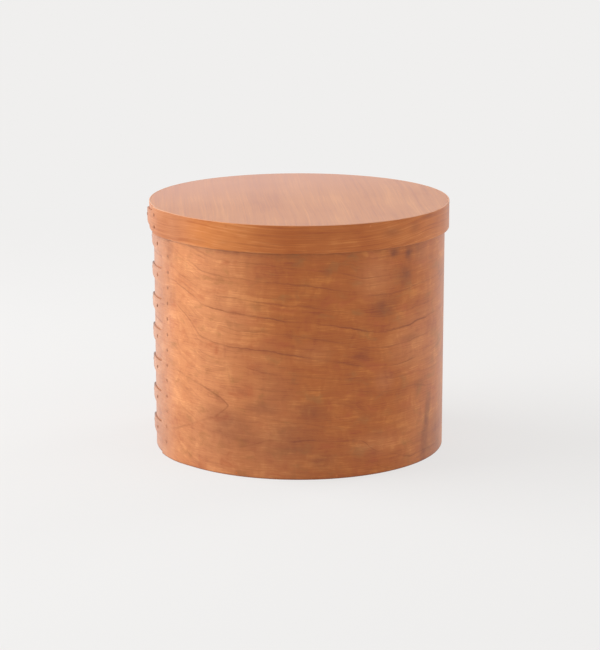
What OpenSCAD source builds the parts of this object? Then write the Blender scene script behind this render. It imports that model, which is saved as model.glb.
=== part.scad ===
// Tall round bentwood box with a lid that lifts off. The body and the lid are each one strip
// of thin wood, bent round and lapped over its own feathered end. The outer end is cut into
// fingers and tacked down through both layers. A round board closes the foot of the body,
// another closes the top of the lid, and small wooden pegs hold each board in its band.
// Lengths are in millimetres and azimuths in degrees, turned from +X towards +Y.
// The origin is the centre of the foot, +Z is up and the front faces -Y.

/* [Body] */
// Outside radius of the body band where it is one layer thick
body_radius = 116.5; // [90:0.5:150]
// Height of the body band
body_height = 195; // [150:1:260]
// Thickness of the body band
body_band_thickness = 1.5; // [1:0.1:2.2]
// Thickness of the bottom board
bottom_board_thickness = 5; // [4:0.5:9]

/* [Body lap] */
// Azimuth of the body's finger tips
body_tip_azimuth = 179; // [0:1:359]
// Number of fingers on the body
body_finger_count = 7; // [3:1:9]
// Length of a body finger, from its tip to the arch beside its root
body_finger_length = 50; // [40:1:60]
// Width of a body finger at its root
body_finger_root_width = 12.8; // [9:0.2:16]
// Width of a body finger at its tip
body_finger_tip_width = 7.6; // [5:0.2:8.8]
// Height of the lowest gap's centre line above the band's lower edge
body_low_gap = 6.3; // [3:0.1:9]
// Depth of the highest gap's centre line below the band's upper edge
body_high_gap = 12; // [8:0.5:20]
// Length of the double layer between the arches and the feathered end
body_shoulder_length = 18; // [16:1:26]
// Length of the body band's feathered end
body_feather_length = 28; // [20:1:36]
// How far the arches and their tacks lean towards the front, from the lowest gap to the highest
body_lean = 8; // [0:0.5:10]

/* [Lid] */
// Height of the lid band
lid_band_height = 21.6; // [17:0.2:32]
// Thickness of the lid band
lid_band_thickness = 1.5; // [1:0.1:2.2]
// Thickness of the lid board
lid_board_thickness = 5; // [4:0.5:9]

/* [Lid lap] */
// Azimuth of the lid's finger tip
lid_tip_azimuth = 180.8; // [0:0.2:359.8]
// Length of the lid's finger, from its tip to where it has the band's full height
lid_finger_length = 37; // [30:1:48]
// Width of the lid's finger where its edges turn out to the band's edges
lid_finger_root_width = 14; // [11:0.2:16]
// Width of the lid's finger at its tip
lid_finger_tip_width = 9.6; // [7:0.2:11]
// Length of the double layer between the lid's finger and the feathered end
lid_shoulder_length = 10; // [8:1:20]
// Length of the lid band's feathered end
lid_feather_length = 26; // [18:1:34]

/* [Tacks] */
// Diameter of a tack's head
tack_head_diameter = 2.8; // [2:0.1:3.6]
// Thickness of a tack's head
tack_head_thickness = 0.35; // [0.25:0.05:0.5]
// How far a tack's head stands out of the wood
tack_head_proud = 0.15; // [0.05:0.05:0.2]
// Diameter of a tack's shank
tack_shank_diameter = 1.1; // [0.8:0.1:1.4]
// Length of the tack's end that is bent over on the inside
tack_clinch_length = 2.2; // [1.6:0.1:3]
// Thickness of the bent-over end
tack_clinch_thickness = 0.4; // [0.3:0.05:0.5]
// Distance from the arches to the row of tacks at the fingers' roots
body_root_tack_inset = 10.3; // [4:0.1:13]
// Distance from the arches to the tack on each body finger
body_finger_tack_inset = 13; // [9:0.5:24]
// Distance from a body finger's tip to its end tack
body_tip_tack_inset = 8; // [4:0.5:12]
// Distance from the lid finger's root to its pair of tacks
lid_root_tack_inset = 4.6; // [2:0.2:7]
// Height between the lid's pair of tacks
lid_root_tack_spacing = 9.6; // [6:0.2:11]
// Distance from the lid finger's tip to its end tack
lid_tip_tack_inset = 9; // [4:0.5:14]

/* [Pegs] */
// Number of pegs round the bottom board
bottom_peg_count = 8; // [4:1:14]
// Number of pegs round the lid board
lid_peg_count = 6; // [4:1:14]
// Diameter of a peg
peg_diameter = 1.8; // [1.4:0.1:2.6]
// Length of a peg
peg_length = 12; // [8:0.5:20]

/* [Fits] */
// Clearance between the lid band and the body's lap
lid_clearance = 0.45; // [0.35:0.05:1]
// Clearance round a tack, a peg or a board
snug_clearance = 0.05; // [0.03:0.01:0.1]
// Gap between the two layers of a lap
seam_gap = 0.05; // [0.03:0.01:0.1]

/* [Hidden] */

// Facets of a full turn and of a small round, angle between points along a lap, steps along a
// climb, and how far a cut runs past a face
round_facets = 180;
hole_facets = 32;
facet_angle = 1.5;
climb_steps = 14;
cut_overrun = 1;

// Share of the feathered end at which the wood runs out
feather_end_share = 0.25;

// Radii of each band's faces, with the lap's outer face where two layers lie on each other
body_inner_radius = body_radius - body_band_thickness;
body_lap_radius = body_radius + seam_gap + body_band_thickness;
lid_inner_radius = body_lap_radius + lid_clearance;
lid_radius = lid_inner_radius + lid_band_thickness;
lid_lap_radius = lid_radius + seam_gap + lid_band_thickness;

// The lid board lies on the body band's top edge and is flush with the lid band's top edge
lid_top = body_height + lid_board_thickness;
lid_foot = lid_top - lid_band_height;

// The fingers share out the height between the lowest gap and the highest one
body_gap_span = body_height - body_low_gap - body_high_gap;
body_finger_pitch = body_gap_span / body_finger_count;

// Lengths of the full double layer on each lap
body_lap_length = body_finger_length + body_shoulder_length;
lid_lap_length = lid_finger_length + lid_shoulder_length;

// Angle that a length covers along a circle
function turn(length, radius) = length / radius * 180 / PI;

// Point on a circle, and a smooth step from 0 to 1
function on_circle(radius, azimuth) = [radius * cos(azimuth), radius * sin(azimuth)];
function ease(share) = share * share * (3 - 2 * share);

// Lean of the body's arches and tacks at a height, and the azimuth at a length from the tips
function lean_at(z) = body_lean * ((z - body_low_gap) / body_gap_span - 1 / 2);
function body_azimuth(length, z) = body_tip_azimuth + turn(length + lean_at(z), body_lap_radius);
function lid_azimuth(length) = lid_tip_azimuth + turn(length, lid_lap_radius);

// Height of one of the body's finger centre lines
function finger_height(i) = body_low_gap + (i + 1 / 2) * body_finger_pitch;

// Azimuths in even steps from one to another
function span(from, to) =
    let (count = ceil(abs(to - from) / facet_angle))
        [for (i = [0:count]) from + (to - from) * i / count];

// Radius of the strip's inner face at a share of its climb, from the foot to the top
function climb_radius(inner, thickness, share) = inner + (thickness + seam_gap) * ease(share);

// A stretch of strip between two faces, each with a radius at every azimuth
module stretch(azimuths, inner_radii, outer_radii, height) {
    last = len(azimuths) - 1;
    linear_extrude(height)
        polygon(concat([for (i = [0:last]) on_circle(inner_radii[i], azimuths[i])],
                       [for (i = [last:-1:0]) on_circle(outer_radii[i], azimuths[i])]));
}

// A bent strip of wood, in a frame turned so that its plain stretch fills three quadrants and
// its lap lies within the fourth. The inner end is feathered, and the strip climbs over that
// end to an outer layer, from which the child shapes are cut.
module bent_strip(radius, thickness, height, tip_azimuth, lap_length, feather_length) {
    inner = radius - thickness;
    lap_radius = radius + seam_gap + thickness;
    lap_angle = turn(lap_length + feather_length, lap_radius);
    tip = 315 - lap_angle / 2;
    climb_top = tip + turn(lap_length, lap_radius);
    climb_foot = tip + lap_angle;
    steps = [for (i = [0:climb_steps]) i / climb_steps];
    feather_steps = [for (i = [1:climb_steps]) 1 - (1 - feather_end_share) * i / climb_steps];
    climb = [for (step = steps) climb_foot + (climb_top - climb_foot) * step];
    feather = [for (step = feather_steps) climb_foot + (climb_top - climb_foot) * step];
    under_lap = span(270, climb_top);
    before_climb = [for (azimuth = span(360, climb_foot)) if (azimuth > climb_foot) azimuth];

    rotate([0, 0, tip_azimuth - tip]) {
        rotate_extrude(angle = 270, $fn = round_facets)
            translate([inner, 0])
                square([thickness, height]);
        stretch(concat(under_lap, feather),
                [for (azimuth = concat(under_lap, feather)) inner],
                concat([for (azimuth = under_lap) radius],
                       [for (step = feather_steps)
                           climb_radius(inner, thickness, step) - seam_gap]),
                height);
        stretch(concat(before_climb, climb),
                concat([for (azimuth = before_climb) inner],
                       [for (step = steps) climb_radius(inner, thickness, step)]),
                concat([for (azimuth = before_climb) radius],
                       [for (step = steps) climb_radius(inner, thickness, step) + thickness]),
                height);
        difference() {
            stretch(span(climb_top, tip),
                    [for (azimuth = span(climb_top, tip)) radius + seam_gap],
                    [for (azimuth = span(climb_top, tip)) lap_radius],
                    height);
            rotate([0, 0, tip - tip_azimuth])
                children();
        }
    }
}

// The gap beside a finger, as a solid that points outwards from the axis: straight sides that
// widen towards the tips, closed by a round arch whose top lies at the finger's full length
module finger_gap(lap_radius, finger_length, arch_radius, mouth) {
    straight = finger_length - arch_radius;
    slope = (mouth - arch_radius) / straight;
    past_tip = finger_length + cut_overrun + body_lean;
    far_mouth = arch_radius + slope * past_tip;
    rotate([90, 0, 90])
        linear_extrude(lap_radius + cut_overrun)
            union() {
                circle(arch_radius, $fn = hole_facets);
                polygon([[0, -arch_radius], [0, arch_radius],
                         [-past_tip, far_mouth], [-past_tip, -far_mouth]]);
            }
}

// What is cut away beyond the outermost fingers, from a gap's centre line to a band's edge
module edge_strip(lap_radius, finger_length, arch_radius, height) {
    past_tip = finger_length + cut_overrun + body_lean;
    translate([0, -past_tip, 0])
        cube([lap_radius + cut_overrun, past_tip + arch_radius, height + cut_overrun]);
}

// A tack driven through both layers. The head stands a little proud, and the end is bent
// over flush with the inner face. A grown tack is the space that it needs.
module tack(inner, outer, azimuth, z, grown = 0) {
    head_seat = outer + tack_head_proud - tack_head_thickness;
    open_end = grown > 0 ? cut_overrun : 0;
    rotate([0, 0, azimuth])
        translate([0, 0, z]) {
            translate([head_seat - grown, 0, 0])
                rotate([0, 90, 0])
                    cylinder(h = tack_head_thickness + grown + open_end,
                             d = tack_head_diameter + 2 * grown, $fn = hole_facets);
            translate([inner + snug_clearance, 0, 0])
                rotate([0, 90, 0])
                    cylinder(h = head_seat + tack_head_thickness / 2 - inner - snug_clearance,
                             d = tack_shank_diameter + 2 * grown, $fn = hole_facets);
            translate([inner + snug_clearance - open_end,
                       -tack_shank_diameter / 2 - grown,
                       -tack_shank_diameter / 2 - grown])
                cube([tack_clinch_thickness + grown + open_end,
                      tack_clinch_length + 2 * grown,
                      tack_shank_diameter + 2 * grown]);
        }
}

// A peg driven in from a band's outer face, flush with it. A grown peg is the hole for it.
module peg(outer, azimuth, z, grown = 0) {
    open_end = grown > 0 ? cut_overrun : 0;
    rotate([0, 0, azimuth])
        translate([outer - peg_length - grown, 0, z])
            rotate([0, 90, 0])
                cylinder(h = peg_length + grown + open_end, d = peg_diameter + 2 * grown,
                         $fn = hole_facets);
}

// Pegs spaced evenly over the stretch that is one layer thick
module peg_row(outer, count, z, lap_end, lap_angle, grown = 0) {
    pitch = (360 - lap_angle) / count;
    for (i = [0:count - 1])
        peg(outer, lap_end + (i + 1 / 2) * pitch, z, grown);
}

module bottom_peg_row(grown = 0) {
    lap_angle = turn(body_lap_length + body_feather_length, body_lap_radius);
    peg_row(body_radius, bottom_peg_count, bottom_board_thickness / 2,
            body_tip_azimuth + lap_angle, lap_angle, grown);
}

module lid_peg_row(grown = 0) {
    lap_angle = turn(lid_lap_length + lid_feather_length, lid_lap_radius);
    peg_row(lid_radius, lid_peg_count, lid_top - lid_board_thickness / 2,
            lid_tip_azimuth + lap_angle, lap_angle, grown);
}

// Tacks in each of the body's rows: two at each finger's root, one on it and one near its tip
module body_root_row(grown = 0) {
    for (i = [0:body_finger_count - 1], side = [-1, 1]) {
        z = finger_height(i) + side * body_finger_pitch / 4;
        tack(body_inner_radius, body_lap_radius,
             body_azimuth(body_finger_length + body_root_tack_inset, z), z, grown);
    }
}

module body_finger_row(grown = 0) {
    for (i = [0:body_finger_count - 1]) {
        z = finger_height(i);
        tack(body_inner_radius, body_lap_radius,
             body_azimuth(body_finger_length - body_finger_tack_inset, z), z, grown);
    }
}

module body_tip_row(grown = 0) {
    for (i = [0:body_finger_count - 1]) {
        z = finger_height(i);
        tack(body_inner_radius, body_lap_radius,
             body_tip_azimuth + turn(body_tip_tack_inset, body_lap_radius), z, grown);
    }
}

// The lid's tacks: a pair one above the other at the finger's root, and one near its tip
module lid_root_pair(grown = 0) {
    for (side = [-1, 1])
        tack(lid_inner_radius, lid_lap_radius,
             lid_azimuth(lid_finger_length + lid_root_tack_inset),
             lid_foot + lid_band_height / 2 + side * lid_root_tack_spacing / 2, grown);
}

module lid_tip_single(grown = 0) {
    tack(lid_inner_radius, lid_lap_radius, lid_azimuth(lid_tip_tack_inset),
         lid_foot + lid_band_height / 2, grown);
}

// The gaps that leave the body's fingers, with the wood below and above them cut away
module body_finger_gaps() {
    arch_radius = (body_finger_pitch - body_finger_root_width) / 2;
    mouth = (body_finger_pitch - body_finger_tip_width) / 2;
    for (i = [0:body_finger_count]) {
        z = body_low_gap + i * body_finger_pitch;
        translate([0, 0, z])
            rotate([0, 0, body_azimuth(body_finger_length - arch_radius, z)])
                finger_gap(body_lap_radius, body_finger_length, arch_radius, mouth);
    }
    translate([0, 0, -cut_overrun])
        rotate([0, 0, body_azimuth(body_finger_length - arch_radius, body_low_gap)])
            edge_strip(body_lap_radius, body_finger_length, arch_radius, body_low_gap);
    translate([0, 0, body_height - body_high_gap])
        rotate([0, 0, body_azimuth(body_finger_length - arch_radius, body_height - body_high_gap)])
            edge_strip(body_lap_radius, body_finger_length, arch_radius, body_high_gap);
}

// The lid's one finger has half a gap below it and half a gap above it
module lid_finger_gaps() {
    arch_radius = (lid_band_height - lid_finger_root_width) / 2;
    mouth = (lid_band_height - lid_finger_tip_width) / 2;
    for (z = [0, lid_band_height])
        translate([0, 0, z])
            rotate([0, 0, lid_azimuth(lid_finger_length - arch_radius)])
                finger_gap(lid_lap_radius, lid_finger_length, arch_radius, mouth);
}

module body_band() {
    color([0.80, 0.44, 0.20])
        difference() {
            bent_strip(body_radius, body_band_thickness, body_height, body_tip_azimuth,
                       body_lap_length, body_feather_length)
                body_finger_gaps();
            body_root_row(snug_clearance);
            body_finger_row(snug_clearance);
            body_tip_row(snug_clearance);
            bottom_peg_row(snug_clearance);
        }
}

module bottom_board() {
    color([0.78, 0.50, 0.30])
        difference() {
            cylinder(h = bottom_board_thickness, r = body_inner_radius - snug_clearance,
                     $fn = round_facets);
            bottom_peg_row(snug_clearance);
        }
}

module body_root_tacks() {
    color([0.38, 0.20, 0.12])
        body_root_row();
}

module body_finger_tacks() {
    color([0.38, 0.20, 0.12])
        body_finger_row();
}

module body_tip_tacks() {
    color([0.38, 0.20, 0.12])
        body_tip_row();
}

module bottom_pegs() {
    color([0.72, 0.46, 0.27])
        bottom_peg_row();
}

module lid_band() {
    color([0.76, 0.38, 0.16])
        difference() {
            translate([0, 0, lid_foot])
                bent_strip(lid_radius, lid_band_thickness, lid_band_height, lid_tip_azimuth,
                           lid_lap_length, lid_feather_length)
                    lid_finger_gaps();
            lid_root_pair(snug_clearance);
            lid_tip_single(snug_clearance);
            lid_peg_row(snug_clearance);
        }
}

module lid_board() {
    color([0.86, 0.66, 0.56])
        difference() {
            translate([0, 0, body_height])
                cylinder(h = lid_board_thickness, r = lid_inner_radius - snug_clearance,
                         $fn = round_facets);
            lid_peg_row(snug_clearance);
        }
}

module lid_root_tacks() {
    color([0.38, 0.20, 0.12])
        lid_root_pair();
}

module lid_tip_tack() {
    color([0.38, 0.20, 0.12])
        lid_tip_single();
}

module lid_pegs() {
    color([0.72, 0.46, 0.27])
        lid_peg_row();
}

body_band();
bottom_board();
body_root_tacks();
body_finger_tacks();
body_tip_tacks();
bottom_pegs();
lid_band();
lid_board();
lid_root_tacks();
lid_tip_tack();
lid_pegs();
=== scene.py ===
import math

import bmesh
import bpy
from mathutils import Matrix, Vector


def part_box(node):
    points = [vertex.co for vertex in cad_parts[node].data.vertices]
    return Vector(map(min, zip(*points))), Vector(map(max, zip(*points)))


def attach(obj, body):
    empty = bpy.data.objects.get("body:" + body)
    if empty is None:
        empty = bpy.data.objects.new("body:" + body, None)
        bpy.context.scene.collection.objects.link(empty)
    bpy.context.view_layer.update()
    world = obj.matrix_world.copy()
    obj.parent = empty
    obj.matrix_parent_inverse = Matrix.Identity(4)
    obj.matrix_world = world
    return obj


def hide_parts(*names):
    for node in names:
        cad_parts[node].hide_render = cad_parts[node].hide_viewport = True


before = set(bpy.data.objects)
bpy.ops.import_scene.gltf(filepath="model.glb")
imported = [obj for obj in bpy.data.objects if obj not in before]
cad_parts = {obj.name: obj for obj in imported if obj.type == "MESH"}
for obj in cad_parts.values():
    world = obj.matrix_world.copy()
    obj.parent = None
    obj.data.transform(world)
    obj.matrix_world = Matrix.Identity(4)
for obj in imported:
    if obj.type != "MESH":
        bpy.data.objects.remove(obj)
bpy.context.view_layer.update()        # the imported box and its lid, in metres
scene = bpy.context.scene
mm = 0.001
vectorMath = "ShaderNodeVectorMath"

# Gaps that the pieces share, and sizes read from the frame
fits = {
    "snug": 0.05 * mm,       # round a board
    "seam": 0.05 * mm,       # between the two layers of a lap
    "touching": 1e-7,        # points nearer than this are one
}
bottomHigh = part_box("bottom_board")[1]
lidBoardLow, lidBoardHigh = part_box("lid_board")
bodyLow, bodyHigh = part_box("body_band")
lidLow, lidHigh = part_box("lid_band")

bodyStrip = {
    "body": "box", "slot": "body_wood", "node": "body_band",
    "inner": bottomHigh.x + fits["snug"],
    "thickness": 1.5 * mm,
    "foot": bodyLow.z,
    "height": bodyHigh.z - bodyLow.z,
    "tipAzimuth": math.radians(179),
    "fingers": 7,
    "fingerLength": 50 * mm,
    "rootWidth": 12.8 * mm,
    "tipWidth": 7.6 * mm,
    "lowGap": 6.3 * mm,      # from the lower edge to the lowest gap's centre line
    "highGap": 12 * mm,      # from the upper edge to the highest one's
    "lean": 8 * mm,          # how far the arches lean towards the front
    "shoulder": 18 * mm,     # lap behind the fingers
    "feather": 28 * mm,      # length of the climb from the inner layer to the lap
}
lidStrip = {
    "body": "lid", "slot": "lid_wood", "node": "lid_band",
    "inner": lidBoardHigh.x + fits["snug"],
    "thickness": 1.5 * mm,
    "foot": lidLow.z,
    "height": lidHigh.z - lidLow.z,
    "tipAzimuth": math.radians(180.8),
    "fingers": 1,
    "fingerLength": 37 * mm,
    "rootWidth": 14 * mm,
    "tipWidth": 9.6 * mm,
    "lowGap": 0,
    "highGap": 0,
    "lean": 0,
    "shoulder": 10 * mm,
    "feather": 26 * mm,
}
for strip in (bodyStrip, lidStrip):
    strip["plainRadius"] = strip["inner"] + strip["thickness"]
    strip["lapRadius"] = strip["plainRadius"] + fits["seam"] + strip["thickness"]
    strip["lap"] = strip["fingerLength"] + strip["shoulder"]
    strip["pitch"] = (strip["height"] - strip["lowGap"] - strip["highGap"]) / strip["fingers"]
    strip["lapAngle"] = (strip["lap"] + strip["feather"]) / strip["lapRadius"]


# Helpers for nodes, meshes and pieces
def addNode(tree, kind, values=None, **settings):
    made = tree.nodes.new(kind)
    for key, value in settings.items():
        setattr(made, key, value)
    for key, value in (values or {}).items():
        if isinstance(value, bpy.types.NodeSocket):
            tree.links.new(value, made.inputs[key])
        else:
            made.inputs[key].default_value = value
    return made


def addAfter(kind, values, **settings):
    # a node in the tree of the first socket that it reads
    sockets = [value for value in values.values() if isinstance(value, bpy.types.NodeSocket)]
    return addNode(sockets[0].id_data, kind, values, **settings)


def calc(operation, *values, kind="ShaderNodeMath"):
    return addAfter(kind, dict(enumerate(values)), operation=operation).outputs[0]


def splitAxes(vector):
    return addAfter("ShaderNodeSeparateXYZ", {0: vector}).outputs


def joinAxes(axes):
    return addAfter("ShaderNodeCombineXYZ", axes).outputs[0]


def newTree(name, sizes, others):
    tree = bpy.data.node_groups.new(name, "GeometryNodeTree")
    tree.interface.new_socket(name="Geometry", in_out="INPUT", socket_type="NodeSocketGeometry")
    for label, kind in {**dict.fromkeys(sizes, "Float"), **others}.items():
        tree.interface.new_socket(name=label, in_out="INPUT", socket_type="NodeSocket" + kind)
    tree.interface.new_socket(name="Geometry", in_out="OUTPUT", socket_type="NodeSocketGeometry")
    return tree, tree.nodes.new("NodeGroupInput").outputs


def closeTree(tree, geometry, material):
    real = addNode(tree, "GeometryNodeRealizeInstances", {0: geometry})
    smooth = addNode(tree, "GeometryNodeSetShadeSmooth", {0: real.outputs[0]})
    painted = addNode(tree, "GeometryNodeSetMaterial", {0: smooth.outputs[0], "Material": material})
    addNode(tree, "NodeGroupOutput", {0: painted.outputs[0]})


def addObject(name, data):
    made = bpy.data.objects.new(name, data)
    scene.collection.objects.link(made)
    return made


def grow(name, mesh, tree, values):
    carrier = addObject(name, mesh)
    modifier = carrier.modifiers.new("grow", "NODES")
    modifier.node_group = tree
    for item in tree.interface.items_tree:
        if item.in_out == "INPUT" and item.name in values:
            modifier[item.identifier] = values[item.name]
    depsgraph = bpy.context.evaluated_depsgraph_get()
    grown = bpy.data.meshes.new_from_object(carrier.evaluated_get(depsgraph),
                                            preserve_all_data_layers=True, depsgraph=depsgraph)
    carrier.modifiers.remove(modifier)
    carrier.data = grown
    grown.name = name
    return carrier


def skinRings(bm, rings):
    for low, high in zip(rings, rings[1:]):
        for k in range(len(low)):
            bm.faces.new((low[k - 1], low[k], high[k], high[k - 1]))


def capRing(bm, ring, centre):
    pole = bm.verts.new(centre)
    for k in range(len(ring)):
        bm.faces.new((ring[k - 1], ring[k], pole))


def closeMesh(bm, name):
    bmesh.ops.recalc_face_normals(bm, faces=bm.faces)
    mesh = bpy.data.meshes.new(name)
    bm.to_mesh(mesh)
    bm.free()
    return mesh


def turnsOf(sides):
    return [2 * math.pi * k / sides for k in range(sides)]


def settle(piece, body, node):
    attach(piece, body)
    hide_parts(node)


# Finishes. Their lengths are millimetres on the wood. A pattern is given as its size, seed, detail
# and roughness, and a ramp as where it starts and ends and what it gives there.
mixing = {
    "seedStep": (7.3, 3.1, 5.7),     # how far a seed moves a pattern
    "through": 1e6,                  # reach of a mound through the wood
    "moundEdge": (0.1, 1.5, 1.0, 0.0),
    "middle": 0.5,                   # the level of a mix where all its patterns are at rest
    "goldenPatch": (150, 300, 60), "goldenPatchShare": (-0.1, 0.5, 0.0, 0.5),     # broad golden patches
}


def newFinish(name, attribute=None):
    material = bpy.data.materials.new(name)
    material.use_nodes = True
    tree = material.node_tree
    tree.nodes.clear()
    if attribute:
        place = addNode(tree, "ShaderNodeAttribute", attribute_name=attribute).outputs["Vector"]
    else:
        place = addNode(tree, "ShaderNodeTexCoord").outputs["Object"]
    inMm = addNode(tree, vectorMath, {0: place, "Scale": 1 / mm}, operation="SCALE")
    return material, tree, inMm.outputs[0]


def noise(place, scale, seed, detail, roughness=0.5):
    moved = addAfter("ShaderNodeMapping",
                     {"Vector": place, "Scale": scale,
                      "Location": [seed * step for step in mixing["seedStep"]]})
    return addAfter("ShaderNodeTexNoise", {"Vector": moved.outputs[0], "Scale": 1.0,
                                           "Detail": detail, "Roughness": roughness}).outputs


def patch(place, size, seed, detail=2.0, roughness=0.5):
    cloud = noise(place, [1 / length for length in size], seed, detail, roughness)
    return calc("MULTIPLY_ADD", cloud[0], 2.0, -1.0)      # centred on zero


def patches(place, look, *names):
    return [patch(place, *look[name]) for name in names]


def stir(place, size, reach, seed):
    cloud = noise(place, [1 / size] * 3, seed, 2.0)
    push = calc("SUBTRACT", cloud[1], (0.5, 0.5, 0.5), kind=vectorMath)
    return calc("MULTIPLY_ADD", push, (2 * reach,) * 3, place, kind=vectorMath)


def ramp(value, low, high, toLow=0.0, toHigh=1.0, way="SMOOTHSTEP"):
    made = addAfter("ShaderNodeMapRange", {"Value": value, "From Min": low, "From Max": high,
                                           "To Min": toLow, "To Max": toHigh},
                    interpolation_type=way)
    return made.outputs[0]


def stretches(along, ranges):
    return [ramp(along, *span) for span in ranges]


def addUp(values, weights):
    total = None
    for value, weight in zip(values, weights):
        scaled = calc("MULTIPLY", value, weight)
        total = scaled if total is None else calc("ADD", total, scaled)
    return total


def highest(values):
    top = values[0]
    for value in values[1:]:
        top = calc("MAXIMUM", top, value)
    return top


def lengthOf(vector):
    return addAfter(vectorMath, {0: vector}, operation="LENGTH").outputs["Value"]


def readFac(tree, attribute):
    return addNode(tree, "ShaderNodeAttribute", attribute_name=attribute).outputs["Fac"]


def blendColor(share, first, second):
    return addAfter("ShaderNodeMix", {0: share, 6: first, 7: second}, data_type="RGBA").outputs[2]


def shade(value, tones):
    lower = blendColor(ramp(value, 0.0, mixing["middle"]), tones[0], tones[1])
    return blendColor(ramp(value, mixing["middle"], 1.0), lower, tones[2])


def tone(red, green, blue):
    def linear(value):
        value /= 255
        return value / 12.92 if value <= 0.04045 else ((value + 0.055) / 1.055) ** 2.4
    return (linear(red), linear(green), linear(blue), 1.0)


def mound(place, centre, reach, strength):
    moved = addAfter("ShaderNodeMapping", {"Vector": place, "Location": (*centre, 0),
                                           "Scale": (*reach, mixing["through"])},
                     vector_type="TEXTURE").outputs[0]
    fall = ramp(lengthOf(moved), *mixing["moundEdge"])
    return calc("MULTIPLY", fall, strength)


def mounds(place, spots):
    return highest([mound(place, *spot) for spot in spots])


def curveAlong(value, points, swing):
    low, high = points[0][0], points[-1][0]
    made = addAfter("ShaderNodeFloatCurve", {"Value": ramp(value, low, high, way="LINEAR")})
    curve = made.mapping.curves[0]
    for place, offset in points:
        at = ((place - low) / (high - low), 0.5 + offset / (2 * swing))
        if place in (low, high):
            curve.points[0 if place == low else -1].location = at
        else:
            curve.points.new(*at)
    made.mapping.update()
    return calc("MULTIPLY_ADD", made.outputs[0], 2 * swing, -swing)


def closeFinish(tree, look, color, roughness, height):
    raised = addNode(tree, "ShaderNodeBump", {"Height": height, "Distance": look["relief"],
                                              "Strength": 1.0})
    shader = addNode(tree, "ShaderNodeBsdfPrincipled",
                     {"Base Color": color, "Roughness": roughness, "Normal": raised.outputs[0],
                      **look["surface"]})
    addNode(tree, "ShaderNodeOutputMaterial", {"Surface": shader.outputs[0]})


# golden wood: painted highlight stretches along the band where the light falls, and random broad
# golden patches
def goldenWoodAndHighlights(look, place, along, mix):
    goldenAndHighlit = stretches(along, look["paintedHighlights"])
    broad = patch(place, mixing["goldenPatch"], look["goldenPatchSeed"], 1.0)
    goldenAndHighlit.append(ramp(broad, *mixing["goldenPatchShare"]))
    return blendColor(highest(goldenAndHighlit), shade(mix, look["plain"]), shade(mix, look["golden"]))


def lapAndGlows(look, place, mix, lapped, color):
    color = blendColor(lapped, color, shade(mix, look["lap"]))
    return blendColor(mounds(place, look["glows"]), color, shade(mix, look["golden"]))


def wearEdges(tree, look, along, color):
    grime = calc("MULTIPLY", readFac(tree, "cut"), ramp(along, *look["wear"]))
    return blendColor(grime, color, look["edge"])


lacquer = {"Coat Weight": 0.35, "Coat Roughness": 0.22, "Coat IOR": 1.35}
growth = {
    "core": 0.2,               # where a growth line is darkest, in shares of its width
    "rim": 1.9,                # and where it ends
    "coreShare": 0.75,
    "haze": (0, 5.0, 1.0, 0.0),      # the soft stain on its upper side
    "hazeStart": (-0.8, 0.2),
    "hazeShare": 0.25,
}


def growthLine(value, at, strength, width):
    away = calc("SUBTRACT", value, at)
    thin = ramp(calc("ABSOLUTE", away), width * growth["core"], width * growth["rim"], 1.0, 0.0)
    soft = calc("MULTIPLY", ramp(away, *growth["haze"]), ramp(away, *growth["hazeStart"]))
    dark = addUp((thin, soft), (growth["coreShare"], growth["hazeShare"]))
    return calc("MULTIPLY", dark, strength)


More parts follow.
